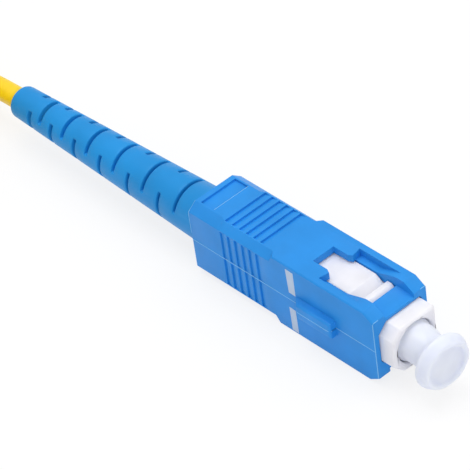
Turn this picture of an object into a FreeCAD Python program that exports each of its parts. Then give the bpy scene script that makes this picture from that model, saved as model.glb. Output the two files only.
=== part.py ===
"""Push-pull SC fibre connector on a cable pigtail, with its dust cap on.

Frame: +X runs along the connector axis to the ferrule tip, +Z is up and the key rib
faces -Y. The origin lies on the flat lower face, below the axis, where the nose of
the grip housing meets its ribbed grip. Millimetres and degrees.
"""
import FreeCAD, Part
import math
import os

V = FreeCAD.Vector

# ---- grip housing: the outer shell that the fingers hold ----
housing_height = 9.0
nose_length = 14.2
grip_length = 12.5
nose_edge = 0.14
grip_cut_y = 0.75
grip_cut_z = 0.85
tail_cut_y = 1.1
tail_cut_z = 0.85
tail_cut_length = 4.2
cut_run_out = 0.55
front_taper_length = 1.3
front_taper_depth = 0.8
side_wall = 0.65
grip_travel = 1.9
stop_gap = 0.06
shell_bore_clearance = 0.14

groove_count = 6
groove_pitch = 1.05
first_groove = 7.8
groove_run = 0.8
face_groove_depth = 0.26
side_groove_depth = 0.2
groove_end_margin = 0.12

pad_recess_rear = 0.65
pad_recess_length = 2.0
pad_recess_width = 4.85
pad_recess_depth = 0.28

window_length = 10.53
window_slot_width = 2.8
latch_opening_rear = 8.25
latch_opening_width = 5.7
ledge_rise_start = 5.1
ledge_rise_end = 3.2
ledge_rise = 0.62
tab_lean = 0.25
tab_corner = 0.5
bar_length = 2.43
bar_rear_height = 0.58
bar_front_height = 0.3

key_length = 5.7
key_front = 5.5
key_width = 1.9
key_height = 0.9
key_rear_slope = 1.0
key_round = 0.3
key_sink = 0.1

# ---- plug frame: the white inner body that mates ----
plug_width = 5.96
plug_height = 5.6
plug_clearance = 0.07
plug_reach = 2.0
plug_corner = 0.3
plug_key_corner = 1.15
plug_front_edge = 0.25
recess_diameter = 4.9
recess_mouth = 0.15
recess_depth = 6.6
seat_wall = 0.8
chamber_diameter = 4.6
pad_width = 3.9
pad_clearance = 0.1
pad_height = 0.75
pad_front = 5.1
pad_ramp = 1.1
pad_length = 11.4
rib_length = 1.05
rib_height = 0.75
rib_ramp = 0.45

# ---- ferrule unit: ferrule, flange, fibre and spring ----
ferrule_diameter = 2.5
ferrule_reach = 1.3
ferrule_length = 10.5
ferrule_tip_cone = 0.35
fibre_diameter = 0.125
fibre_clearance = 0.01
flange_collar_diameter = 4.2
flange_collar_length = 1.6
flange_flats = 3.7
flange_spigot_diameter = 3.3
flange_hole_clearance = 0.1
flange_tube_diameter = 2.9
flange_tube_length = 3.7
guide_tube_diameter = 1.3
guide_tube_bore = 0.95
guide_tube_length = 12.0
buffer_diameter = 0.9
epoxy_length = 1.4
spring_wire = 0.42
spring_diameter = 4.1
spring_turns = 4
spring_wire_sides = 4
spring_seat_gap = 1.0
ferrule_travel = 1.0

# ---- rear body, crimp sleeve and boot ----
post_clearance = 0.05
post_collar_diameter = 5.5
post_collar_length = 1.5
post_tail_diameter = 3.3
post_tail_length = 6.2
post_bore = 1.9
post_rings = 2
post_ring_depth = 0.12
catch_rear = 1.2
catch_length = 1.4
catch_width = 2.0
catch_margin = 0.06
catch_sink = 0.15
yarn_thickness = 0.14
crimp_wall = 0.28
crimp_neck_length = 3.6
crimp_step = 0.6
boot_gap = 0.2
boot_front_diameter = 6.1
boot_rear_diameter = 3.75
boot_length = 40.7
boot_end_face = 0.15
boot_round_share = 0.29
boot_end_round = 0.75
boot_wall_clearance = 0.04
boot_roll = 18.0
slot_rings = 12
slot_span = 108.0
slot_floor_faces = 3
slot_floor_wall = 0.16
last_slot = 3.6
slot_pitch = 1.82
slot_pitch_growth = 0.085
slot_rear_width = 0.6
slot_front_width = 0.38

# ---- cable ----
cable_diameter = 2.5
jacket_bore_depth = 3.0
yarn_diameter = 1.7
lead_points = ((0, 4.5), (3.7, 4.5), (7.7, 3.75), (11.7, 2.25), (15.5, 1.65))
tail_points = ((2.4, 4.1), (7.5, 4.1), (14.5, 1.3), (19.5, 1.3))
tail_bore_depth = 2.5
tail_yarn_length = 1.5
tail_buffer_length = 3.5
coil_turn_diameter = 29.1
coil_columns = 3
coil_rows = 4
coil_behind_boot = 21.5
tie_angles = (10.0, 130.0, 250.0)
tie_width = 2.4
tie_thickness = 0.35
arc_share = 0.45

# ---- dust cap ----
cap_bore_clearance = 0.02
cap_neck_diameter = 4.2
cap_throat_diameter = 3.95
cap_head_diameter = 6.34
cap_front_diameter = 5.5
cap_neck_depth = 5.6
cap_entry_edge = 0.35
cap_throat_start = 0.9
cap_throat = 1.9
cap_head_start = 3.3
cap_flare_steps = (0.5, 1)
cap_head_length = 1.4
cap_head_round = 0.3
cap_dish_depth = 1.3
cap_dish_diameter = 3.8
cap_rim_wall = 0.45
cap_end_gap = 0.3

# ---- places along the axis, which lies at the height of the housing's middle ----
past = 1.0
axis_height = housing_height / 2
x_front = nose_length
x_rear = -grip_length
x_plug = x_front + plug_reach
x_bar = x_front - bar_length
x_recess_floor = x_plug - recess_depth
x_chamber = x_recess_floor - seat_wall
x_pad_front = x_front - pad_front
x_pad_rear = x_pad_front - pad_length
x_shoulder = x_pad_rear - grip_travel - stop_gap
x_ferrule_tip = x_plug + ferrule_reach
x_ferrule_back = x_ferrule_tip - ferrule_length
x_collar_front = x_chamber - stop_gap
x_collar_rear = x_collar_front - flange_collar_length
x_spring_seat = x_collar_rear - flange_tube_length - ferrule_travel - spring_seat_gap
x_post_shoulder = x_pad_rear
x_post_tail = x_post_shoulder - post_collar_length
x_post_end = x_post_tail - post_tail_length
x_crimp_front = x_post_tail - stop_gap
x_crimp_end = x_post_end - crimp_step - crimp_neck_length
x_boot_front = x_post_tail - boot_gap
x_boot_end = x_boot_front - boot_length
x_coil = x_boot_end - coil_behind_boot

# ---- sizes that follow from the ones above ----
housing_width = plug_width + 2 * (plug_clearance + side_wall)
pad_half = pad_width / 2
opening_half = pad_half + pad_clearance
pad_top = plug_height / 2 + pad_height
bar_base = plug_height / 2 + plug_clearance
cavity_half_z = pad_top + pad_clearance
boot_front_radius = boot_front_diameter / 2
shell_bore_radius = boot_front_radius + shell_bore_clearance
crimp_bore_radius = post_tail_diameter / 2 + yarn_thickness
crimp_radius = crimp_bore_radius + crimp_wall
boot_bore_radius = cable_diameter / 2 + boot_wall_clearance
coil_mean = coil_turn_diameter / 2
coil_half = coil_columns * cable_diameter / 2
coil_height = coil_rows * cable_diameter
coil_outer_turn = coil_mean + (coil_columns - 1) / 2 * cable_diameter
coil_place = V(x_coil, -coil_outer_turn, tie_thickness - axis_height)
x_tail_end = x_coil + tail_points[-1][0]


# ---- shape helpers, all about the connector axis at y = 0, z = 0 ----
def block(x0, x1, half_y, z0, z1):
    return Part.makeBox(x1 - x0, 2 * half_y, z1 - z0, V(x0, -half_y, z0))


def cylinder(x0, x1, radius):
    return Part.makeCylinder(radius, x1 - x0, V(x0, 0, 0), V(1, 0, 0))


def tube(x0, x1, outer, inner):
    return cylinder(x0, x1, outer).cut(cylinder(x0 - past, x1 + past, inner))


def revolve(profile):
    """Turn a closed outline of (x, radius) points round the axis."""
    points = [V(x, r, 0) for x, r in profile]
    face = Part.Face(Part.makePolygon(points + points[:1]))
    return face.revolve(V(0, 0, 0), V(1, 0, 0), 360)


def prism_z(outline, z0, z1):
    points = [V(x, y, z0) for x, y in outline]
    return Part.Face(Part.makePolygon(points + points[:1])).extrude(V(0, 0, z1 - z0))


def prism_y(outline, y0, y1):
    points = [V(x, y0, z) for x, z in outline]
    return Part.Face(Part.makePolygon(points + points[:1])).extrude(V(0, y1 - y0, 0))


def prism_x(section, x0, x1):
    points = [V(x0, y, z) for y, z in section]
    return Part.Face(Part.makePolygon(points + points[:1])).extrude(V(x1 - x0, 0, 0))


def plug_section(margin):
    """The plug frame's outline across the axis, its two corners on the key side cut deeper."""
    half_y = plug_width / 2 + margin
    half_z = plug_height / 2 + margin
    top = [(half_y, half_z - plug_corner), (half_y - plug_corner, half_z),
           (plug_key_corner - half_y, half_z), (-half_y, half_z - plug_key_corner)]
    return top + [(y, -z) for y, z in reversed(top)]


def cut_corner_section(half_y, half_z, cut_y, cut_z):
    """Rectangle across the axis with its four corners cut, as (y, z) points."""
    quarter = [(half_y, half_z - cut_z), (half_y - cut_y, half_z)]
    top = quarter + [(-y, z) for y, z in reversed(quarter)]
    return top + [(-y, -z) for y, z in top]


def loft(stations):
    wires = []
    for x, section in stations:
        points = [V(x, y, z) for y, z in section]
        wires.append(Part.makePolygon(points + points[:1]))
    return Part.makeLoft(wires, True, True)


def mirror_z(shape):
    return shape.mirror(V(0, 0, 0), V(0, 0, 1))


def both_faces(shape):
    """The shape and its twin on the opposite wide face."""
    return [shape, mirror_z(shape)]


def quarter_turn(shape):
    """A copy turned about the axis so that +Z becomes -Y."""
    turned = shape.copy()
    turned.rotate(V(0, 0, 0), V(1, 0, 0), 90)
    return turned


# ---- grip housing ----
def housing_body():
    half_y = housing_width / 2
    half_z = housing_height / 2
    tail = cut_corner_section(half_y, half_z, tail_cut_y, tail_cut_z)
    grip = cut_corner_section(half_y, half_z, grip_cut_y, grip_cut_z)
    nose = cut_corner_section(half_y, half_z, nose_edge, nose_edge)
    front = cut_corner_section(half_y, half_z - front_taper_depth, nose_edge, nose_edge)
    x_tail = x_rear + tail_cut_length
    return loft([(x_rear, tail), (x_tail, tail), (x_tail + cut_run_out, grip), (-cut_run_out, grip),
                 (0, nose), (x_front - front_taper_length, nose), (x_front, front)])


def grip_grooves():
    """Saw-tooth grooves across the four faces of the grip."""
    cutters = []
    for i in range(groove_count):
        x = -first_groove + i * groove_pitch
        for half, width, cut, depth, turned in (
                (housing_height / 2, housing_width, grip_cut_y, face_groove_depth, False),
                (housing_width / 2, housing_height, grip_cut_z, side_groove_depth, True)):
            side = width / 2 - cut - groove_end_margin
            tooth = [(x, half + past), (x, half - depth), (x + groove_run, half), (x + groove_run, half + past)]
            cutter = prism_y(tooth, -side, side)
            if turned:
                cutter = quarter_turn(cutter)
                cutters += [cutter, cutter.mirror(V(0, 0, 0), V(0, 1, 0))]
            else:
                cutters += both_faces(cutter)
    return cutters


def housing_cavity():
    """Space for the plug frame, its side pads and, behind them, the boot."""
    channel = prism_x(plug_section(plug_clearance), x_shoulder, x_front + past)
    pad_channel = block(x_shoulder, x_bar, opening_half, -cavity_half_z, cavity_half_z)
    bore = cylinder(x_rear - past, x_shoulder + past / 2, shell_bore_radius)
    return [channel, pad_channel, bore]


def latch_window():
    """One face's window: slot, latch opening, release ledges and recessed front bar."""
    top = housing_height / 2
    above = top + past
    slot = window_slot_width / 2
    wide = latch_opening_width / 2
    x_slot = x_front - window_length
    x_open = x_front - latch_opening_rear
    x_tab = x_open + tab_lean
    tab_y = slot + tab_lean
    outline = [(x_slot, slot), (x_tab - tab_corner, slot), (x_tab, tab_y), (x_open, wide),
               (x_bar, wide), (x_bar, -wide), (x_open, -wide), (x_tab, -tab_y),
               (x_tab - tab_corner, -slot), (x_slot, -slot)]
    side_view = [(x_slot - past, cavity_half_z), (x_front - ledge_rise_start, cavity_half_z),
                 (x_front - ledge_rise_end, cavity_half_z + ledge_rise), (x_bar, top), (x_bar, above),
                 (x_slot - past, above)]
    ledged = prism_z(outline, 0, above).common(prism_y(side_view, -housing_width, housing_width))
    opening = block(x_tab, x_bar, opening_half, 0, above)
    over_bar = [(x_bar, bar_base + bar_rear_height), (x_front + past, bar_base + bar_front_height),
                (x_front + past, above), (x_bar, above)]
    return [ledged, opening, prism_y(over_bar, -opening_half, opening_half)]


def key_rib():
    """Polarising rib along the -Y face, sloped at its rear and rounded along its outer edges."""
    base = housing_width / 2
    outer = base + key_height
    x1 = x_front - key_front
    x0 = x1 - key_length
    side_view = [(x0, base - key_sink), (x0, base), (x0 + key_rear_slope, outer), (x1, outer),
                 (x1, base - key_sink)]
    rib = prism_y(side_view, -key_width / 2, key_width / 2)
    round_edges = [edge for edge in rib.Edges
                   if edge.BoundBox.ZMin > outer - stop_gap and edge.BoundBox.XMax > x1 - stop_gap]
    return quarter_turn(rib.makeFillet(key_round, round_edges))


def make_grip_housing():
    cutters = grip_grooves() + housing_cavity()
    for cutter in latch_window():
        cutters += both_faces(cutter)
    recess = block(x_rear + pad_recess_rear, x_rear + pad_recess_rear + pad_recess_length,
                   pad_recess_width / 2, housing_height / 2 - pad_recess_depth, housing_height)
    return housing_body().fuse(key_rib()).cut(cutters + [recess]).removeSplitter()


# ---- plug frame ----
def make_plug_frame():
    half_z = plug_height / 2
    edge = plug_front_edge
    radius = recess_diameter / 2
    body = loft([(x_pad_rear, plug_section(0)), (x_plug - edge, plug_section(0)),
                 (x_plug, plug_section(-edge))])
    x_rib = x_bar - stop_gap
    pad_view = [(x_pad_rear, 0), (x_pad_rear, pad_top), (x_pad_front, pad_top),
                (x_pad_front + pad_ramp, half_z), (x_pad_front + pad_ramp, 0)]
    rib_view = [(x_rib - rib_length, 0), (x_rib - rib_length, half_z + rib_height),
                (x_rib - rib_ramp, half_z + rib_height), (x_rib, half_z + rib_height / 2), (x_rib, 0)]
    raised = []
    for view in (pad_view, rib_view):
        raised += both_faces(prism_y(view, -pad_half, pad_half))
    recess = revolve([(x_recess_floor, 0), (x_recess_floor, radius), (x_plug - recess_mouth, radius),
                      (x_plug + recess_mouth, radius + 2 * recess_mouth), (x_plug + recess_mouth, 0)])
    seat = cylinder(x_chamber - past, x_recess_floor + past, flange_spigot_diameter / 2 + flange_hole_clearance)
    chamber = cylinder(x_pad_rear - past, x_chamber, chamber_diameter / 2)
    return body.fuse(raised).cut([recess, seat, chamber, catch_block(0, plug_width)]).removeSplitter()


def catch_block(margin, reach):
    """Block through both sides of the plug frame, less a margin all round."""
    x0 = x_pad_rear + catch_rear
    half = catch_width / 2 - margin
    return block(x0 + margin, x0 + catch_length - margin, reach, -half, half)


# ---- ferrule unit ----
def make_ferrule():
    radius = ferrule_diameter / 2
    cone = ferrule_tip_cone
    x0 = x_ferrule_tip - ferrule_length
    body = revolve([(x0, 0), (x0, radius), (x_ferrule_tip - cone, radius),
                    (x_ferrule_tip, radius - cone), (x_ferrule_tip, 0)])
    funnel = revolve([(x0, 0), (x0, guide_tube_diameter / 2), (x0 + epoxy_length, 0)])
    bore = cylinder(x0, x_ferrule_tip + past, fibre_diameter / 2 + fibre_clearance)
    return body.cut([funnel, bore])


def make_flange():
    """Collar with two flats, a spigot in the plug frame's seat and a tube behind."""
    radius = flange_collar_diameter / 2
    x_tube_end = x_collar_rear - flange_tube_length
    collar = cylinder(x_collar_rear, x_collar_front, radius)
    flats = block(x_collar_rear, x_collar_front, radius, -flange_flats / 2, flange_flats / 2)
    spigot = cylinder(x_collar_front, x_recess_floor - stop_gap, flange_spigot_diameter / 2)
    stem = cylinder(x_tube_end, x_collar_rear, flange_tube_diameter / 2)
    ferrule_seat = cylinder(x_ferrule_back, x_recess_floor + past, ferrule_diameter / 2)
    stem_bore = cylinder(x_tube_end - past, x_ferrule_back, guide_tube_diameter / 2)
    return collar.common(flats).fuse([spigot, stem]).cut([ferrule_seat, stem_bore])


def make_fibre():
    return cylinder(x_ferrule_back, x_ferrule_tip, fibre_diameter / 2)


def make_tight_buffer():
    return cylinder(x_post_end, x_ferrule_back, buffer_diameter / 2)


def make_epoxy():
    """Glue round the buffer in the flange, and in the funnel of the ferrule round the fibre."""
    x0 = x_ferrule_back - epoxy_length
    ring = tube(x0, x_ferrule_back, guide_tube_diameter / 2, buffer_diameter / 2)
    radius = guide_tube_diameter / 2
    cone = revolve([(x_ferrule_back, 0), (x_ferrule_back, radius), (x_ferrule_back + epoxy_length, 0)])
    return ring.fuse(cone.cut(cylinder(x0, x_ferrule_tip, fibre_diameter / 2)))


def make_guide_tube():
    x1 = x_ferrule_back - epoxy_length
    return tube(x1 - guide_tube_length, x1, guide_tube_diameter / 2, guide_tube_bore / 2)


def make_spring():
    """Coil spring between the rear body and the flange collar."""
    radius = (spring_diameter - spring_wire) / 2
    x0 = x_spring_seat + spring_wire / 2 + stop_gap
    length = x_collar_rear - stop_gap - spring_wire / 2 - x0
    helix = Part.makeHelix(length / spring_turns, length, radius)
    turns = [2 * math.pi * i / spring_wire_sides for i in range(spring_wire_sides)]
    corners = [V(radius + spring_wire / 2 * math.cos(a), 0, spring_wire / 2 * math.sin(a)) for a in turns]
    section = Part.makePolygon(corners + corners[:1])
    spring = Part.Wire(helix.Edges).makePipeShell([section], True, True)
    spring.rotate(V(0, 0, 0), V(0, 1, 0), 90)
    spring.translate(V(x0, 0, 0))
    return spring


# ---- rear body, crimp and boot ----
def make_rear_body():
    barrel = cylinder(x_post_shoulder, x_spring_seat, chamber_diameter / 2 - post_clearance)
    barbs = catch_block(catch_margin, plug_width / 2 - catch_sink)
    collar = cylinder(x_post_tail, x_post_shoulder, post_collar_diameter / 2)
    radius = post_tail_diameter / 2
    tail = cylinder(x_post_end, x_post_tail, radius)
    pitch = post_tail_length / (post_rings + 1)
    grooves = []
    for i in range(post_rings):
        middle = x_post_end + (i + 1) * pitch
        grooves.append(tube(middle - pitch / 4, middle + pitch / 4, radius + past, radius - post_ring_depth))
    bore = cylinder(x_post_end - past, x_spring_seat + past, post_bore / 2)
    return barrel.fuse([barbs, collar, tail]).cut(grooves + [bore])


def make_aramid_yarn():
    radius = post_tail_diameter / 2
    return tube(x_post_end, x_post_tail - stop_gap, radius + yarn_thickness, radius)


def make_crimp_sleeve():
    neck = cable_diameter / 2
    return revolve([(x_crimp_front, crimp_bore_radius), (x_crimp_front, crimp_radius),
                    (x_post_end, crimp_radius), (x_post_end - crimp_step, neck + crimp_wall),
                    (x_crimp_end, neck + crimp_wall), (x_crimp_end, neck),
                    (x_post_end - crimp_step, neck), (x_post_end, crimp_bore_radius)])


def slot_cutter(x0, x1, centre):
    """Cutter for one slot; its middle direction turns from +Z towards -Y."""
    floor = []
    for k in range(slot_floor_faces + 1):
        turn = math.radians(centre + (k / slot_floor_faces - 0.5) * slot_span)
        floor.append((-math.sin(turn), math.cos(turn)))
    inner = boot_bore_radius + slot_floor_wall
    outer = boot_front_diameter
    section = [(inner * y, inner * z) for y, z in floor] + [(outer * y, outer * z) for y, z in reversed(floor)]
    return prism_x(section, x0, x1)


def boot_slots():
    """Staggered pairs of slots that let the boot bend; the pitch grows towards the front."""
    cutters = []
    x = x_boot_end + last_slot
    for i in range(slot_rings):
        share = i / (slot_rings - 1)
        half = (slot_rear_width + share * (slot_front_width - slot_rear_width)) / 2
        first = boot_roll + 90 * ((i + 1) % 2)
        for centre in (first, first + 180):
            cutters.append(slot_cutter(x - half, x + half, centre))
        x += slot_pitch + i * slot_pitch_growth
    return cutters


def make_boot():
    """Tapered boot over the crimp sleeve, with a rounded end."""
    front = boot_front_radius
    rear = boot_rear_diameter / 2
    cap = boot_end_round
    slope = (front - rear) / (x_rear - x_boot_end)
    step = boot_wall_clearance
    seat = cable_diameter / 2 + crimp_wall + step
    body = revolve([
        (x_boot_end, boot_bore_radius), (x_boot_end, boot_bore_radius + boot_end_face),
        (x_boot_end + boot_round_share * cap, rear - boot_round_share * cap),
        (x_boot_end + cap, rear + slope * cap), (x_rear, front), (x_boot_front, front),
        (x_boot_front, crimp_radius + step), (x_post_end - step, crimp_radius + step),
        (x_post_end - crimp_step - step, seat), (x_crimp_end - step, seat),
        (x_crimp_end - step, boot_bore_radius)])
    return body.cut(boot_slots())


def make_dust_cap():
    """Soft cap whose sleeve grips the ferrule; its flared head is hollow at the front."""
    bore = ferrule_diameter / 2 + cap_bore_clearance
    neck = cap_neck_diameter / 2
    throat = cap_throat_diameter / 2
    head = cap_head_diameter / 2
    front = cap_front_diameter / 2
    rim = cap_head_round
    x0 = x_plug - cap_neck_depth
    x_throat = x_plug + cap_throat
    x_head = x_plug + cap_head_start
    x_end = x_head + cap_head_length
    x_bore_end = x_ferrule_tip + cap_end_gap
    flare = [(x_throat + t * (x_head - x_throat), throat + (head - rim / 2 - throat) * t * t)
             for t in cap_flare_steps]
    return revolve([
        (x0, bore), (x0, neck - cap_entry_edge), (x0 + cap_entry_edge, neck), (x_plug + cap_throat_start, neck),
        (x_throat, throat), *flare, (x_head + rim, head), (x_end, front), (x_end, front - cap_rim_wall),
        (x_end - cap_dish_depth, cap_dish_diameter / 2), (x_end - cap_dish_depth, 0), (x_bore_end, 0),
        (x_bore_end, bore)])


# ---- cable: its end in the crimp, the short lead, the wound coil and its bare tail ----
def make_jacket_end():
    x0 = x_post_end - stop_gap
    body = cylinder(x_boot_end, x0, cable_diameter / 2)
    return body.cut(cylinder(x0 - jacket_bore_depth, x0 + past, yarn_diameter / 2))


def rounded_tube(points, diameter):
    """Rod along straight runs joined by arcs that touch both of them."""
    radius = diameter / 2
    pieces = []
    start = points[0]
    for before, corner, after in zip(points, points[1:], points[2:]):
        run_in = corner - before
        run_out = after - corner
        turn = run_in.getAngle(run_out)
        tangent = arc_share * min(run_in.Length, run_out.Length)
        run_in.normalize()
        run_out.normalize()
        arc_start = corner - run_in * tangent
        centre = corner + (run_out - run_in).normalize() * (tangent / math.sin(turn / 2))
        disc = Part.Face(Part.Wire(Part.makeCircle(radius, arc_start, run_in)))
        pieces += [Part.makeCylinder(radius, (arc_start - start).Length, start, run_in),
                   disc.revolve(centre, run_in.cross(run_out), math.degrees(turn))]
        start = corner + run_out * tangent
    pieces.append(Part.makeCylinder(radius, (points[-1] - start).Length, start, points[-1] - start))
    return pieces[0].fuse(pieces[1:])


def make_cable_lead():
    """From the boot down to the lowest row of the coil, which it meets on the outside."""
    points = [V(x_boot_end - back, 0, height - axis_height) for back, height in lead_points]
    return rounded_tube(points, cable_diameter).cut(make_cable_coil())


def make_cable_coil():
    """Outer shape of the wound turns, lying on its ties."""
    ring = Part.makeCylinder(coil_mean + coil_half, coil_height)
    ring = ring.cut(Part.makeCylinder(coil_mean - coil_half, coil_height))
    ring.translate(coil_place)
    return ring


def make_coil_ties():
    """Thin straps round the coil's section."""
    wall = tie_thickness
    straps = []
    for angle in tie_angles:
        strap = Part.makeBox(2 * (coil_half + wall), tie_width, coil_height + 2 * wall,
                             V(coil_mean - coil_half - wall, -tie_width / 2, -wall))
        strap.rotate(V(0, 0, 0), V(0, 0, 1), angle)
        strap.translate(coil_place)
        straps.append(strap.cut(make_cable_coil()))
    return Part.makeCompound(straps)


def on_tail(shape):
    """Moves a shape from the connector axis to the line of the tail's straight end."""
    shape.translate(V(0, -2 * coil_outer_turn, tail_points[-1][1] - axis_height))
    return shape


def make_tail_jacket():
    """The cable's last piece: from the outside of the coil down to the floor, stripped at its end."""
    points = [V(x_coil + ahead, -2 * coil_outer_turn, height - axis_height) for ahead, height in tail_points]
    bore = on_tail(cylinder(x_tail_end - tail_bore_depth, x_tail_end + past, yarn_diameter / 2))
    return rounded_tube(points, cable_diameter).cut([bore, make_cable_coil()])


def make_tail_yarn():
    return on_tail(tube(x_tail_end - tail_bore_depth, x_tail_end + tail_yarn_length, yarn_diameter / 2,
                        buffer_diameter / 2))


def make_tail_buffer():
    return on_tail(cylinder(x_tail_end - tail_bore_depth, x_tail_end + tail_buffer_length, buffer_diameter / 2))


MAKERS = {
    "grip_housing": make_grip_housing,
    "plug_frame": make_plug_frame,
    "ferrule": make_ferrule,
    "ferrule_flange": make_flange,
    "optical_fibre": make_fibre,
    "tight_buffer": make_tight_buffer,
    "epoxy_fill": make_epoxy,
    "guide_tube": make_guide_tube,
    "ferrule_spring": make_spring,
    "rear_body": make_rear_body,
    "aramid_yarn": make_aramid_yarn,
    "crimp_sleeve": make_crimp_sleeve,
    "boot": make_boot,
    "dust_cap": make_dust_cap,
    "jacket_end": make_jacket_end,
    "cable_lead": make_cable_lead,
    "cable_coil": make_cable_coil,
    "coil_ties": make_coil_ties,
    "tail_jacket": make_tail_jacket,
    "tail_yarn": make_tail_yarn,
    "tail_buffer": make_tail_buffer,
}

os.makedirs("parts", exist_ok=True)
for name, make in MAKERS.items():
    shape = make()
    shape.translate(V(0, 0, axis_height))
    shape.exportStep(f"parts/{name}.step")
    box = shape.BoundBox
    print(f"{name:15s} valid {shape.isValid()} solids {len(shape.Solids)} volume {shape.Volume:8.2f}",
          f"x {box.XMin:.2f} {box.XMax:.2f} y {box.YMin:.2f} {box.YMax:.2f} z {box.ZMin:.2f} {box.ZMax:.2f}")
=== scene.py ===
"""Studio picture of a push-pull fibre connector on its cable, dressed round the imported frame."""
import math

import bmesh
import bpy
from mathutils import Matrix, Vector


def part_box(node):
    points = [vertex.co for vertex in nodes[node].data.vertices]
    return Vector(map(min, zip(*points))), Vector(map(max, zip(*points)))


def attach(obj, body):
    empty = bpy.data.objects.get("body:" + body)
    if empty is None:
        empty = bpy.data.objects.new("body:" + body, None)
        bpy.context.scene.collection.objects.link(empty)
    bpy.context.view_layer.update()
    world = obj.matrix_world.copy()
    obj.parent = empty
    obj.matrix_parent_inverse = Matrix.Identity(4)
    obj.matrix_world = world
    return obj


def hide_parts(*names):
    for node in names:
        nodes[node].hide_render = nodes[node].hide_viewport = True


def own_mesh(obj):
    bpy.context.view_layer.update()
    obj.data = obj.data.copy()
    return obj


MM = 0.001
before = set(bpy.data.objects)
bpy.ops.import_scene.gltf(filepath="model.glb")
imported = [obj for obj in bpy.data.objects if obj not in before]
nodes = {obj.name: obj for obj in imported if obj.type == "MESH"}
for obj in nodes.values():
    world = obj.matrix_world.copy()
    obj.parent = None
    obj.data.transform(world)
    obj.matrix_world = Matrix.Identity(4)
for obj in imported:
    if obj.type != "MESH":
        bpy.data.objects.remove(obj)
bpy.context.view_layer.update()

# ---- places, read from the frame ----
housing_low, housing_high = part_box("grip_housing")
boot_low, boot_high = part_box("boot")
AXIS_Z = (boot_low.z + boot_high.z) / 2
BOOT_END = boot_low.x
PLUG_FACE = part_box("plug_frame")[1].x
HALF_WIDTH = housing_high.y


# ---- camera: a long lens that looks down at the key side, with its angles in degrees ----
CAMERA_PLACE = (0.178261, -0.143846, 0.203823)
AZIMUTH = 52.641
ELEVATION = 40.152
ROLL = -8.723
LENS = 229.79
SENSOR_WIDTH = 36.0
CLIP_START = 0.01
CLIP_END = 10.0


def make_camera():
    azimuth, elevation, roll = (math.radians(a) for a in (AZIMUTH, ELEVATION, ROLL))
    back = Vector((math.sin(azimuth) * math.cos(elevation),
                   -math.cos(azimuth) * math.cos(elevation), math.sin(elevation)))
    right = (-back).cross(Vector((0, 0, 1))).normalized()
    up = right.cross(-back)
    turned_right = right * math.cos(roll) + up * math.sin(roll)
    turned_up = up * math.cos(roll) - right * math.sin(roll)
    data = bpy.data.cameras.new("camera")
    data.sensor_width = SENSOR_WIDTH
    data.lens = LENS
    data.clip_start = CLIP_START
    data.clip_end = CLIP_END
    camera = bpy.data.objects.new("camera", data)
    camera.matrix_world = Matrix.Translation(CAMERA_PLACE) @ Matrix(
        (turned_right, turned_up, back)).transposed().to_4x4()
    bpy.context.scene.collection.objects.link(camera)
    bpy.context.scene.camera = camera


# ---- material helpers ----
PATCH_DETAIL = 3.0
PATCH_RANGE = (0.3, 0.7)
GRAIN_DETAIL = 4.0
GRAIN_STRENGTH = 0.5
EVENLY = (1, 1, 1)
DRAWN_ALONG_X = (0.1, 1, 1)


def new_material(name):
    material = bpy.data.materials.new(name)
    material.use_nodes = True
    tree = material.node_tree
    return material, tree, tree.nodes["Principled BSDF"]


def linear(colour):
    """Linear values of an sRGB colour written as 0 to 255."""
    return [c / 255 / 12.92 if c <= 10 else ((c / 255 + 0.055) / 1.055) ** 2.4 for c in colour] + [1.0]


def noise(tree, scale, detail, stretch):
    place = tree.nodes.new("ShaderNodeTexCoord")
    mapping = tree.nodes.new("ShaderNodeMapping")
    mapping.inputs["Scale"].default_value = stretch
    texture = tree.nodes.new("ShaderNodeTexNoise")
    texture.inputs["Scale"].default_value = scale
    texture.inputs["Detail"].default_value = detail
    tree.links.new(place.outputs["Object"], mapping.inputs["Vector"])
    tree.links.new(mapping.outputs["Vector"], texture.inputs["Vector"])
    return texture


def tint(tree, shader, colour, darker, scale):
    """Base colour that wanders between two close tones."""
    ramp = tree.nodes.new("ShaderNodeValToRGB")
    dark_end, light_end = ramp.color_ramp.elements
    dark_end.position, light_end.position = PATCH_RANGE
    dark_end.color = linear([c * darker for c in colour])
    light_end.color = linear(colour)
    tree.links.new(noise(tree, scale, PATCH_DETAIL, EVENLY).outputs["Fac"], ramp.inputs["Fac"])
    tree.links.new(ramp.outputs["Color"], shader.inputs["Base Color"])


def relief(tree, shader, scale, height, stretch=EVENLY):
    """Fine surface grain of a given height."""
    bump = tree.nodes.new("ShaderNodeBump")
    bump.inputs["Strength"].default_value = GRAIN_STRENGTH
    bump.inputs["Distance"].default_value = height
    tree.links.new(noise(tree, scale, GRAIN_DETAIL, stretch).outputs["Fac"], bump.inputs["Height"])
    tree.links.new(bump.outputs["Normal"], shader.inputs["Normal"])


def scatter(shader, weight, reach):
    """Light that spreads under the surface, with its reach in millimetres for red, green and blue."""
    shader.inputs["Subsurface Weight"].default_value = weight
    shader.inputs["Subsurface Radius"].default_value = [r * MM for r in reach]
    shader.inputs["Subsurface Scale"].default_value = 1.0


def plastic(name, colour, roughness, patch=300.0, grain=9000.0, specular=0.5, subsurface=0.0,
            reach=(0.2, 0.4, 1.0)):
    material, tree, shader = new_material(name)
    tint(tree, shader, colour, darker=0.95, scale=patch)
    relief(tree, shader, grain, height=0.004 * MM)
    shader.inputs["Roughness"].default_value = roughness
    shader.inputs["Specular IOR Level"].default_value = specular
    if subsurface:
        scatter(shader, subsurface, reach)
    return material


def metal(name, colour, roughness):
    material, tree, shader = new_material(name)
    tint(tree, shader, colour, darker=0.9, scale=500.0)
    relief(tree, shader, scale=4000.0, height=0.003 * MM, stretch=DRAWN_ALONG_X)
    shader.inputs["Metallic"].default_value = 1.0
    shader.inputs["Roughness"].default_value = roughness
    return material


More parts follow.
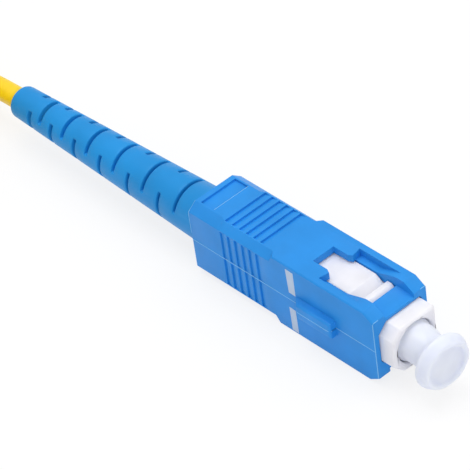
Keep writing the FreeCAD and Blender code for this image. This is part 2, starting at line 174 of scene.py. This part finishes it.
def frosted(name, colour, roughness):
    """Milky plastic that light goes far into."""
    material, tree, shader = new_material(name)
    tint(tree, shader, colour, darker=0.97, scale=400.0)
    relief(tree, shader, scale=5000.0, height=0.004 * MM)
    shader.inputs["Roughness"].default_value = roughness
    shader.inputs["IOR"].default_value = 1.45
    scatter(shader, weight=1.0, reach=(0.7, 0.7, 0.75))
    return material


# ---- materials: a colour as 0 to 255 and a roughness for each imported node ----
JACKET_YELLOW = (252, 214, 24)
ARAMID_GOLD = (226, 190, 92)
BUFFER_WHITE = (240, 240, 238)

MATERIALS = {
    "grip_housing": plastic("moulded_blue", (42, 146, 230), 0.42, specular=0.2),
    "boot": plastic("soft_blue", (31, 146, 220), 0.45, patch=200.0, grain=6000.0, specular=0.2),
    "plug_frame": plastic("moulded_white", (240, 239, 244), 0.35, specular=0.3, subsurface=0.8,
                          reach=(0.5, 0.5, 0.5)),
    "dust_cap": frosted("frosted_cap", (231, 235, 248), 0.4),
    "rear_body": plastic("black_nylon", (28, 28, 30), 0.5),
    "ferrule": plastic("zirconia", (244, 243, 238), 0.12, subsurface=0.2),
    "ferrule_flange": metal("nickel", (205, 200, 190), 0.25),
    "ferrule_spring": metal("spring_steel", (190, 190, 192), 0.25),
    "optical_fibre": plastic("silica", (220, 230, 235), 0.1),
    "tight_buffer": plastic("buffer", BUFFER_WHITE, 0.4),
    "epoxy_fill": plastic("epoxy", (196, 150, 70), 0.3),
    "guide_tube": plastic("clear_tube", (215, 225, 230), 0.3),
    "aramid_yarn": plastic("aramid_band", ARAMID_GOLD, 0.6),
    "crimp_sleeve": metal("crimp_metal", (200, 195, 180), 0.35),
    "jacket_end": plastic("yellow_pvc_end", JACKET_YELLOW, 0.4),
    "tail_jacket": plastic("yellow_pvc_tail", JACKET_YELLOW, 0.4),
    "tail_yarn": plastic("aramid_tail", ARAMID_GOLD, 0.6),
    "tail_buffer": plastic("buffer_tail", BUFFER_WHITE, 0.4),
    "coil_ties": plastic("tie_black", (30, 30, 32), 0.45),
    "cable_lead": plastic("yellow_lead", JACKET_YELLOW, 0.4),
    "cable_coil": plastic("yellow_coil", JACKET_YELLOW, 0.4),
}

PRINT = plastic("pale_print", (188, 206, 230), 0.5)
# lighter blue that paints the highlight on the housing's edges and on the parting line
EDGE_HIGHLIGHT = plastic("painted_highlight_blue_edge", (120, 192, 244), 0.35)

for name, material in MATERIALS.items():
    nodes[name].data.materials.clear()
    nodes[name].data.materials.append(material)


def add_piece(name, mesh, body, replaced):
    """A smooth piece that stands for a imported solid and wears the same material."""
    bmesh.ops.recalc_face_normals(mesh, faces=mesh.faces)
    for face in mesh.faces:
        face.smooth = True
    data = bpy.data.meshes.new(name)
    mesh.to_mesh(data)
    mesh.free()
    piece = bpy.data.objects.new(name, data)
    bpy.context.scene.collection.objects.link(piece)
    data.materials.append(MATERIALS[replaced])
    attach(piece, body)
    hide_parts(replaced)
    return piece


def join_rings(mesh, one, other):
    """A closed band of faces between two rings with as many points each."""
    for k in range(len(one)):
        n = (k + 1) % len(one)
        mesh.faces.new((one[k], one[n], other[n], other[k]))


# ---- the cable: short lead, coil of turns laid on and beside each other, bare tail ----
CABLE = 2.5 * MM
# the straps: thickness, width, where they are round the coil, and the degrees between points round a strap
TIE = 0.35 * MM
TIE_WIDTH = 2.4 * MM
TIE_ANGLES = (10, 130, 250)
TIE_STEP = 5
# the coil: its columns, its radius at the middle column and at the outermost, and where its middle lies
COLUMNS = 3
COIL_MEAN = 29.1 * MM / 2
COIL_OUTER = COIL_MEAN + (COLUMNS - 1) / 2 * CABLE
COIL_BEHIND = 21.5 * MM
COIL_CENTRE = Vector((BOOT_END - COIL_BEHIND, -COIL_OUTER, 0))
# the cells that the turns fill, in their order: column from the outside, and row from the floor
CELLS = [(0, 0), (1, 0), (2, 0), (2, 1), (2, 2), (2, 3), (1, 3), (0, 3), (0, 2), (1, 2), (1, 1), (0, 1)]
# degrees along the coil: where the first change of cell starts, how long it takes, and how often one comes
FIRST_SHIFT = 240
SHIFT_LENGTH = 120
SHIFT_EVERY = 320
# degrees from one of the cord's points to the next, and where the coil ends
STEP = 12
COIL_END = 3780
# millimetres behind the boot or ahead of the coil's middle, and above the floor
LEAD = [(0, 4.5), (3.7, 4.5), (7.7, 3.75), (11.7, 2.25), (15.5, 1.65)]
TAIL = [(2.4, 4.1), (7.5, 4.1), (14.5, 1.3), (19.5, 1.3)]


def ease(share):
    share = min(1.0, max(0.0, share))
    return share * share * (3 - 2 * share)


def coil_point(angle):
    """The cord's place at a total angle, in degrees, counted from where it meets the coil."""
    column, row = CELLS[0]
    for k, (next_column, next_row) in enumerate(CELLS[1:]):
        share = ease((angle - FIRST_SHIFT - SHIFT_EVERY * k) / SHIFT_LENGTH)
        column += share * (next_column - CELLS[k][0])
        row += share * (next_row - CELLS[k][1])
    radius = (COIL_OUTER - column * CABLE) / math.cos(math.radians(STEP / 2))
    turn = math.radians(90 + angle)
    return COIL_CENTRE + Vector((radius * math.cos(turn), radius * math.sin(turn), TIE + (row + 0.5) * CABLE))


def cord_track(curve):
    """Points along the middle of the cord, read from its spline."""
    bare = curve.copy()
    bare.bevel_depth = 0
    line = bpy.data.objects.new("track", bare)
    mesh = bpy.data.meshes.new_from_object(line)
    points = [v.co.copy() for v in mesh.vertices]
    bpy.data.objects.remove(line)
    bpy.data.meshes.remove(mesh)
    bpy.data.curves.remove(bare)
    return points


def turns_through(track, out, along):
    """How far out and how high the cord is wherever it crosses the half-plane of a strap."""
    for one, other in zip(track, track[1:]):
        start, end = one - COIL_CENTRE, other - COIL_CENTRE
        before, after = start.dot(along), end.dot(along)
        if before * after < 0 and start.dot(out) > 0:
            spot = one.lerp(other, before / (before - after)) - COIL_CENTRE
            yield spot.dot(out), spot.z


def make_straps(track):
    """Three straps drawn tight round the turns that pass through them."""
    mesh = bmesh.new()
    directions = [(math.cos(math.radians(a)), math.sin(math.radians(a))) for a in range(0, 360, TIE_STEP)]
    for degrees in TIE_ANGLES:
        turn = math.radians(degrees)
        out = Vector((math.cos(turn), math.sin(turn), 0))
        along = Vector((-math.sin(turn), math.cos(turn), 0))
        places = list(turns_through(track, out, along))
        loops = []
        for reach, side in ((0, -1), (0, 1), (TIE, 1), (TIE, -1)):
            loop = []
            for c, s in directions:
                far, high = max(places, key=lambda place: place[0] * c + place[1] * s)
                far, high = far + (CABLE / 2 + reach) * c, high + (CABLE / 2 + reach) * s
                spot = COIL_CENTRE + out * far + along * side * TIE_WIDTH / 2
                loop.append(mesh.verts.new((spot.x, spot.y, high)))
            loops.append(loop)
        for one, other in zip(loops, loops[1:] + loops[:1]):
            join_rings(mesh, one, other)
    return add_piece("coil_straps", mesh, "core", "coil_ties")


def make_cable():
    """The cord and the straps on its coil; returns the straps."""
    points = [Vector((BOOT_END - behind * MM, 0, height * MM)) for behind, height in LEAD]
    points += [coil_point(a) for a in range(-STEP // 2, COIL_END, STEP)]
    points += [Vector((COIL_CENTRE.x + ahead * MM, 2 * COIL_CENTRE.y, height * MM)) for ahead, height in TAIL]
    curve = bpy.data.curves.new("cable", "CURVE")
    curve.dimensions = "3D"
    curve.bevel_depth = CABLE / 2
    curve.bevel_resolution = 8
    curve.resolution_u = 4
    curve.use_fill_caps = True
    spline = curve.splines.new("NURBS")
    spline.points.add(len(points) - 1)
    for place, point in zip(spline.points, points):
        place.co = (*point, 1.0)
    spline.order_u = 3
    spline.use_endpoint_u = True
    cable = bpy.data.objects.new("cable", curve)
    bpy.context.scene.collection.objects.link(cable)
    curve.materials.append(MATERIALS["cable_lead"])
    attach(cable, "core")
    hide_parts("cable_lead", "cable_coil", "tail_jacket")
    straps = make_straps(cord_track(curve))
    return straps


# ---- boot: a tapered sleeve with staggered pairs of soft-edged slots, the rearmost cut through ----
BOOT_SEGMENTS = 180
BOOT_FRONT_RADIUS = (boot_high.z - boot_low.z) / 2
BOOT_REAR_RADIUS = 1.875 * MM
BOOT_END_ROUND = 0.55 * MM
END_ROUND_STEPS = 6
BOOT_BORE = 1.29 * MM
BORE_FRONT = -14.5 * MM
# the wider room in the boot's front for the crimp, from its mouth to the bore: x and radius
BOOT_ROOM = [(boot_high.x, 2.2 * MM), (-10.0 * MM, 2.2 * MM), (-14.2 * MM, 1.6 * MM)]
# how far behind the housing the last ring of the boot's slope lies
RING_BEHIND = 0.3 * MM
SLOT_RINGS = 12
OPEN_SLOTS = 3
FIRST_SLOT = 3.6 * MM
SLOT_PITCH = 1.82 * MM
PITCH_GROWTH = 0.085 * MM
REAR_SLOT_WIDTH = 0.6 * MM
FRONT_SLOT_WIDTH = 0.38 * MM
SLOT_FLOOR = BOOT_BORE + 0.16 * MM
SLOT_APPROACH = 0.45 * MM
# degrees: how far every second pair is turned from +Z (the others are a quarter turn further on), how far a
# slot reaches round at half its depth, and the stretch over which its ends rise
SLOT_TURN = 18.0
SLOT_SPAN = 108.0
SLOT_END_RUN = 7.0
# a slot's wall, from the skin down: millimetres into the slot, and share of the slot's depth
WALL_STEPS = [(-0.09, 0.0), (-0.05, 0.02), (-0.02, 0.08), (0.0, 0.2), (0.015, 0.9), (0.05, 1.0)]


def slot_places():
    """Where each pair of slots lies along the axis, half their width, and the angle of the first of them."""
    x = BOOT_END + FIRST_SLOT
    for i in range(SLOT_RINGS):
        share = i / (SLOT_RINGS - 1)
        width = REAR_SLOT_WIDTH + share * (FRONT_SLOT_WIDTH - REAR_SLOT_WIDTH)
        yield x, width / 2, SLOT_TURN + 90.0 * ((i + 1) % 2)
        x += SLOT_PITCH + i * PITCH_GROWTH


def boot_radius(x):
    slope = (BOOT_FRONT_RADIUS - BOOT_REAR_RADIUS) / (housing_low.x - BOOT_END)
    return min(BOOT_FRONT_RADIUS, BOOT_REAR_RADIUS + slope * (x - BOOT_END))


def slot_depth(degrees, first):
    """How deep a slot is at an angle from +Z towards -Y: 1 along its middle, 0 past its ends."""
    from_middle = abs((degrees - first + 90) % 180 - 90)
    return ease((SLOT_SPAN / 2 - from_middle) / SLOT_END_RUN + 0.5)


def boot_rows():
    """Rings of the outer skin from rear to front: x, radius, slot share, first slot angle, open or not."""
    for k in range(END_ROUND_STEPS, -1, -1):
        turn = math.radians(90 / END_ROUND_STEPS * k)
        radius = boot_radius(BOOT_END + BOOT_END_ROUND) - BOOT_END_ROUND * (1 - math.cos(turn))
        yield BOOT_END + BOOT_END_ROUND * (1 - math.sin(turn)), radius, 0.0, 0.0, False
    for i, (x, half, first) in enumerate(slot_places()):
        before = x - half - SLOT_APPROACH
        yield before, boot_radius(before), 0.0, first, False
        for side, steps in ((-1, WALL_STEPS), (1, WALL_STEPS[::-1])):
            for offset, share in steps:
                at = x + side * (half - offset * MM)
                yield at, boot_radius(at), share, first, i < OPEN_SLOTS and side < 0 and share == 1
    for x in (housing_low.x - RING_BEHIND, housing_low.x, boot_high.x):
        yield x, boot_radius(x), 0.0, 0.0, False


def make_boot():
    mesh = bmesh.new()
    count = BOOT_SEGMENTS
    angles = [360 * k / count for k in range(count)]

    def ring(x, radii):
        turns = [math.radians(a) for a in angles]
        return [mesh.verts.new((x, -r * math.sin(t), AXIS_Z + r * math.cos(t))) for r, t in zip(radii, turns)]

    def wall(a, b, c, d):
        mesh.faces.new((a, b, c, d))

    outer, inner, opened = [], [], []
    for x, radius, share, first, opens in boot_rows():
        depths = [slot_depth(a, first) for a in angles]
        outer.append(ring(x, [radius - share * depth * (radius - SLOT_FLOOR) for depth in depths]))
        opened.append([opens and depths[k] == 1 and depths[(k + 1) % count] == 1 for k in range(count)])
        if x < BORE_FRONT:
            inner.append(ring(x, [BOOT_BORE] * count))
    room = [ring(x, [radius] * count) for x, radius in BOOT_ROOM]
    for i in range(len(outer) - 1):
        for k in range(count):
            n = (k + 1) % count
            if opened[i][k]:
                wall(outer[i][k], outer[i][n], inner[i][n], inner[i][k])
                wall(outer[i + 1][n], outer[i + 1][k], inner[i + 1][k], inner[i + 1][n])
                if not opened[i][k - 1]:
                    wall(outer[i + 1][k], outer[i][k], inner[i][k], inner[i + 1][k])
                if not opened[i][n]:
                    wall(outer[i][n], outer[i + 1][n], inner[i + 1][n], inner[i][n])
            else:
                wall(outer[i][k], outer[i + 1][k], outer[i + 1][n], outer[i][n])
                if i + 1 < len(inner):
                    wall(inner[i][n], inner[i + 1][n], inner[i + 1][k], inner[i][k])
    ends = [outer[-1], *room, inner[-1]]
    for one, other in [*zip(ends, ends[1:]), (inner[0], outer[0])]:
        join_rings(mesh, one, other)
    add_piece("boot_skin", mesh, "core", "boot")


# ---- ferrule spring: round wire with closed ends ----
SPRING_WIRE = 0.42 * MM
SPRING_TURNS = 6
SPRING_STEPS = 32
WIRE_SIDES = 12


def make_spring():
    mesh = bmesh.new()
    low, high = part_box("ferrule_spring")
    radius = (high.y - low.y - SPRING_WIRE) / 2
    start, end = low.x + SPRING_WIRE / 2, high.x - SPRING_WIRE / 2
    pitch = (end - start - 2 * SPRING_WIRE) / (SPRING_TURNS - 2)
    rings = []
    for i in range(SPRING_TURNS * SPRING_STEPS + 1):
        turn = i / SPRING_STEPS
        closed = min(turn, 1.0) + max(0.0, turn - SPRING_TURNS + 1)
        x = start + closed * SPRING_WIRE + (turn - closed) * pitch
        out = Vector((0, -math.sin(2 * math.pi * turn), math.cos(2 * math.pi * turn)))
        ring = []
        for k in range(WIRE_SIDES):
            a = 2 * math.pi * k / WIRE_SIDES
            spot = out * (radius + SPRING_WIRE / 2 * math.cos(a))
            ring.append(mesh.verts.new((x + SPRING_WIRE / 2 * math.sin(a), spot.y, spot.z + AXIS_Z)))
        rings.append(ring)
    for one, other in zip(rings, rings[1:]):
        join_rings(mesh, one, other)
    mesh.faces.new(rings[0])
    mesh.faces.new(rings[-1])
    spring = add_piece("spring_wire", mesh, "core", "ferrule_spring")
    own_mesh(spring)


# ---- dust cap: soft frosted cap, its flared head dished in front and drooping a little ----
CAP_SEGMENTS = 72
# how far the head's axis leans to the key side and down for each length forward
CAP_DROOP = Vector((0, -0.103, -0.054))
DROOP_START = 0.5 * MM
DROOP_LENGTH = 1.2 * MM
# millimetres ahead of the plug's face, and radius: from the mouth over the neck and the lip into the dish
CAP_OUTSIDE = [(-5.6, 1.27), (-5.6, 1.8), (-5.5, 2.15), (-5.3, 2.3), (-4.9, 2.36), (-2.6, 2.37), (-0.4, 2.36),
               (-0.26, 2.3), (-0.16, 2.19), (-0.04, 2.13), (0.3, 2.12), (1.0, 2.09), (1.6, 2.0), (2.05, 1.93),
               (2.4, 1.98), (2.75, 2.2), (3.0, 2.55), (3.2, 2.9), (3.36, 3.08), (3.56, 3.17), (3.78, 3.15),
               (4.1, 3.03), (4.4, 2.89), (4.58, 2.79), (4.7, 2.66), (4.75, 2.52), (4.75, 2.42), (4.7, 2.32),
               (4.6, 2.24), (4.52, 2.14), (4.47, 1.95), (4.44, 1.5), (4.43, 0.8), (4.43, 0.2)]
# the same for the bore, from its end to the mouth; it stays on the axis
CAP_INSIDE = [(1.6, 0.2), (1.6, 0.8), (1.6, 1.15), (1.5, 1.27)]


def make_cap():
    mesh = bmesh.new()
    pivot = PLUG_FACE + DROOP_START
    droop = Vector((1, 0, 0)).rotation_difference(Vector((1, 0, 0)) + CAP_DROOP)
    turns = [2 * math.pi * k / CAP_SEGMENTS for k in range(CAP_SEGMENTS)]
    rings = []
    for profile, bends in ((CAP_OUTSIDE, True), (CAP_INSIDE, False)):
        for ahead, radius in profile:
            x = PLUG_FACE + ahead * MM - pivot
            ring = [Vector((x, radius * MM * math.sin(t), radius * MM * math.cos(t))) for t in turns]
            if bends and x > 0:
                share = ease(x / DROOP_LENGTH)
                ring = [spot.lerp(droop @ spot, share) for spot in ring]
            rings.append([mesh.verts.new((spot.x + pivot, spot.y, spot.z + AXIS_Z)) for spot in ring])
    middle = len(CAP_OUTSIDE)
    for part in (rings[:middle], rings[middle:] + rings[:1]):
        for one, other in zip(part, part[1:]):
            join_rings(mesh, one, other)
    mesh.faces.new(rings[middle - 1])
    mesh.faces.new(rings[middle])
    cap = add_piece("cap_skin", mesh, "cap", "dust_cap")
    smooth = cap.modifiers.new("smooth", "SUBSURF")
    smooth.levels = 1
    smooth.render_levels = 1


# ---- housing trim: fine parting line, two printed bars on the key face, and edges with a painted highlight ----
KEY_FACE = -HALF_WIDTH
KEY_TOP = housing_low.y
KEY_REAR = 3.0 * MM
KEY_SLOPE = 1.0 * MM
KEY_FRONT = 8.7 * MM
KEY_CORNER = 0.25 * MM
LINE_WIDTH = 0.1 * MM
LINE_HEIGHT = 0.04 * MM
# the ridge's section: shares of half its width and of its height
LINE_SECTION = [(-1, -0.2), (-0.6, 0.7), (0, 1.0), (0.6, 0.7), (1, -0.2)]
# corners of the bars on the key face: x and z in millimetres
BARS = [((1.9, 8.5), (3.0, 8.45), (3.0, 5.4), (2.05, 5.45)),
        ((1.8, 3.35), (2.7, 3.3), (2.75, 0.25), (1.85, 0.3))]
BAR_THICKNESS = 0.012 * MM
EDGE_RADIUS = 0.04 * MM
EDGE_SIDES = 6
# the front walls' edges: where their top ends inwards, where the corner is cut, and where the side ends
WALL_IN = 2.95 * MM
WALL_TOP = 8.2 * MM
WALL_CORNER_IN = 0.14 * MM
WALL_CORNER_LOW = 8.05 * MM
WALL_FOOT = 0.95 * MM
# the rear edge's cut corner and lower end, and the front rim of the recess on top
REAR_CORNER_IN = 2.6 * MM
REAR_CORNER_LOW = 8.15 * MM
REAR_FOOT = 5.4 * MM
RECESS_AHEAD = 2.65 * MM
RECESS_HALF_WIDTH = 2.4 * MM


def trim(name, verts, faces, material):
    """A small piece on the grip housing."""
    data = bpy.data.meshes.new(name)
    data.from_pydata(verts, [], faces)
    data.validate()
    piece = bpy.data.objects.new(name, data)
    bpy.context.scene.collection.objects.link(piece)
    data.materials.append(material)
    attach(piece, "grip")


def make_parting_line():
    """Half-round ridge where the mould's halves met, along both narrow faces and over the key rib, in the
    lighter blue of a painted highlight.
    """
    key_side = [(housing_low.x, KEY_FACE), (KEY_REAR, KEY_FACE), (KEY_REAR + KEY_SLOPE, KEY_TOP),
                (KEY_FRONT - KEY_CORNER, KEY_TOP), (KEY_FRONT, KEY_TOP + KEY_CORNER), (KEY_FRONT, KEY_FACE),
                (housing_high.x, KEY_FACE)]
    far_side = [(housing_low.x, HALF_WIDTH), (housing_high.x, HALF_WIDTH)]
    for name, route, out in (("parting_line_key_side", key_side, -1), ("parting_line_far_side", far_side, 1)):
        verts = []
        for x, y in route:
            for across, proud in LINE_SECTION:
                verts.append((x, y + out * proud * LINE_HEIGHT, AXIS_Z + across * LINE_WIDTH / 2))
        count = len(LINE_SECTION)
        faces = []
        for i in range(len(route) - 1):
            for j in range(count - 1):
                a = count * i + j
                faces.append((a, a + 1, a + 1 + count, a + count))
        trim(name, verts, faces, EDGE_HIGHLIGHT)


def band(start, count):
    """Faces between two closed rows of points that follow each other, from the number of the first point."""
    return [(start + k, start + (k + 1) % count, start + count + (k + 1) % count, start + count + k)
            for k in range(count)]


def make_bars():
    verts = []
    faces = []
    for bar in BARS:
        start = len(verts)
        for y in (KEY_FACE, KEY_FACE - BAR_THICKNESS):
            verts += [(x * MM, y, z * MM) for x, z in bar]
        faces.append(tuple(start + k for k in (4, 5, 6, 7)))
        faces += band(start, len(bar))
    trim("printed_bars", verts, faces, PRINT)


def bead(name, *spots):
    """Fine round line along an edge, through the spots, in a lighter blue that paints a highlight."""
    spots = [Vector(spot) for spot in spots]
    verts = []
    for i, spot in enumerate(spots):
        along = (spots[min(i + 1, len(spots) - 1)] - spots[max(i - 1, 0)]).normalized()
        side = along.orthogonal().normalized()
        for k in range(EDGE_SIDES):
            turn = Matrix.Rotation(2 * math.pi * k / EDGE_SIDES, 3, along)
            verts.append(tuple(spot + turn @ side * EDGE_RADIUS))
    faces = [tuple(range(EDGE_SIDES)), tuple(range(len(verts) - EDGE_SIDES, len(verts)))]
    for i in range(len(spots) - 1):
        faces += band(EDGE_SIDES * i, EDGE_SIDES)
    trim(name, verts, faces, EDGE_HIGHLIGHT)


def make_edges():
    """Painted highlights as light lines where walls end: front walls, rear corner and the recess's front rim.
    """
    front, rear, top = housing_high.x, housing_low.x, housing_high.z
    rim = rear + RECESS_AHEAD
    bead("edge_near_wall", (front, -WALL_IN, WALL_TOP), (front, -HALF_WIDTH + WALL_CORNER_IN, WALL_TOP),
         (front, -HALF_WIDTH, WALL_CORNER_LOW), (front, -HALF_WIDTH, WALL_FOOT))
    bead("edge_far_wall", (front, WALL_IN, WALL_TOP), (front, HALF_WIDTH - WALL_CORNER_IN, WALL_TOP))
    bead("edge_rear", (rear, -REAR_CORNER_IN, top), (rear, -HALF_WIDTH, REAR_CORNER_LOW),
         (rear, -HALF_WIDTH, REAR_FOOT))
    bead("edge_recess", (rim, -RECESS_HALF_WIDTH, top), (rim, RECESS_HALF_WIDTH, top))


# ---- rounded edges, as moulding leaves them ----
JOIN_DISTANCE = 0.001 * MM
FLAT_ANGLE = 1
SHARP_ANGLE = 20
ROUND_SEGMENTS = 3
HOUSING_ROUND = 0.14 * MM
PLUG_ROUND = 0.1 * MM
STRAP_ROUND = 0.1 * MM


def smooth_group():
    """Geometry nodes that shade every face smooth, so that the rounded edges after them blend."""
    group = bpy.data.node_groups.new("shade_smooth", "GeometryNodeTree")
    group.interface.new_socket("Geometry", in_out="INPUT", socket_type="NodeSocketGeometry")
    group.interface.new_socket("Geometry", in_out="OUTPUT", socket_type="NodeSocketGeometry")
    start = group.nodes.new("NodeGroupInput")
    shade = group.nodes.new("GeometryNodeSetShadeSmooth")
    end = group.nodes.new("NodeGroupOutput")
    group.links.new(start.outputs[0], shade.inputs["Geometry"])
    group.links.new(shade.outputs[0], end.inputs[0])
    return group


def merge_flat(node, group):
    """One smooth-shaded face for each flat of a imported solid."""
    weld = node.modifiers.new("join_faces", "WELD")
    weld.merge_threshold = JOIN_DISTANCE
    flat = node.modifiers.new("merge_flat_faces", "DECIMATE")
    flat.decimate_type = "DISSOLVE"
    flat.angle_limit = math.radians(FLAT_ANGLE)
    smooth = node.modifiers.new("shade_smooth", "NODES")
    smooth.node_group = group


def soften(piece, width, clamp=True):
    """Bevelled sharp edges; clamp keeps them all as narrow as the smallest faces allow."""
    edges = piece.modifiers.new("rounded_edges", "BEVEL")
    edges.width = width
    edges.segments = ROUND_SEGMENTS
    edges.limit_method = "ANGLE"
    edges.angle_limit = math.radians(SHARP_ANGLE)
    edges.harden_normals = True
    edges.use_clamp_overlap = clamp


def round_edges(straps):
    group = smooth_group()
    for name, width, clamp in (("grip_housing", HOUSING_ROUND, True), ("plug_frame", PLUG_ROUND, False)):
        merge_flat(nodes[name], group)
        soften(nodes[name], width, clamp)
    soften(straps, STRAP_ROUND)


# ---- floor and light ----
WHITE = (1, 1, 1, 1)
FLOOR_SIZE = 3.0
FLOOR_DROP = 0.03 * MM
FLOOR_COLOUR = (0.93, 0.93, 0.94, 1)
FLOOR_GLOW = 0.8
WORLD_LIGHT = 0.6
LAMP_TARGET = Vector((0, 0, 0.005))
# the lamps: name, place, size and power
LAMPS = [("key_light", (-0.15, 0.0, 0.66), 0.4, 1.75),
         ("top_light", (0.1, 0.3, 0.62), 0.4, 0.85),
         ("front_fill", (0.55, -0.25, 0.3), 0.3, 0.6)]


def make_floor():
    """Matt floor that catches the shadow; the camera and reflections see it mostly as plain white."""
    bpy.ops.mesh.primitive_plane_add(size=FLOOR_SIZE, location=(0, 0, -FLOOR_DROP))
    floor = bpy.context.object
    floor.name = "floor"
    material = bpy.data.materials.new("pale_floor")
    material.use_nodes = True
    tree = material.node_tree
    tree.nodes.clear()
    output = tree.nodes.new("ShaderNodeOutputMaterial")
    lit = tree.nodes.new("ShaderNodeBsdfDiffuse")
    lit.inputs["Color"].default_value = FLOOR_COLOUR
    glow = tree.nodes.new("ShaderNodeEmission")
    glow.inputs["Color"].default_value = WHITE
    glow.inputs["Strength"].default_value = 1.0
    rays = tree.nodes.new("ShaderNodeLightPath")
    either = tree.nodes.new("ShaderNodeMath")
    either.operation = "MAXIMUM"
    share = tree.nodes.new("ShaderNodeMath")
    share.operation = "MULTIPLY"
    share.inputs[1].default_value = FLOOR_GLOW
    mix = tree.nodes.new("ShaderNodeMixShader")
    tree.links.new(rays.outputs["Is Camera Ray"], either.inputs[0])
    tree.links.new(rays.outputs["Is Glossy Ray"], either.inputs[1])
    tree.links.new(either.outputs[0], share.inputs[0])
    tree.links.new(share.outputs[0], mix.inputs[0])
    tree.links.new(lit.outputs[0], mix.inputs[1])
    tree.links.new(glow.outputs[0], mix.inputs[2])
    tree.links.new(mix.outputs[0], output.inputs["Surface"])
    floor.data.materials.append(material)


def area_light(name, place, size, power):
    data = bpy.data.lights.new(name, "AREA")
    data.shape = "SQUARE"
    data.size = size
    data.energy = power
    light = bpy.data.objects.new(name, data)
    light.location = place
    light.rotation_mode = "QUATERNION"
    light.rotation_quaternion = (LAMP_TARGET - Vector(place)).to_track_quat("-Z", "Y")
    bpy.context.scene.collection.objects.link(light)


def make_light():
    """Soft lamps in a pale world, which the camera sees as white."""
    world = bpy.data.worlds.new("studio")
    bpy.context.scene.world = world
    world.use_nodes = True
    tree = world.node_tree
    background = tree.nodes["Background"]
    rays = tree.nodes.new("ShaderNodeLightPath")
    strength = tree.nodes.new("ShaderNodeMix")
    strength.data_type = "FLOAT"
    strength.inputs[2].default_value = WORLD_LIGHT
    strength.inputs[3].default_value = 1.0
    tree.links.new(rays.outputs["Is Camera Ray"], strength.inputs[0])
    tree.links.new(strength.outputs[0], background.inputs["Strength"])
    background.inputs["Color"].default_value = WHITE
    for lamp in LAMPS:
        area_light(*lamp)


make_camera()
straps = make_cable()
make_boot()
make_spring()
make_cap()
make_parting_line()
make_bars()
make_edges()
round_edges(straps)
make_floor()
make_light()
bpy.context.scene.view_settings.view_transform = "Standard"
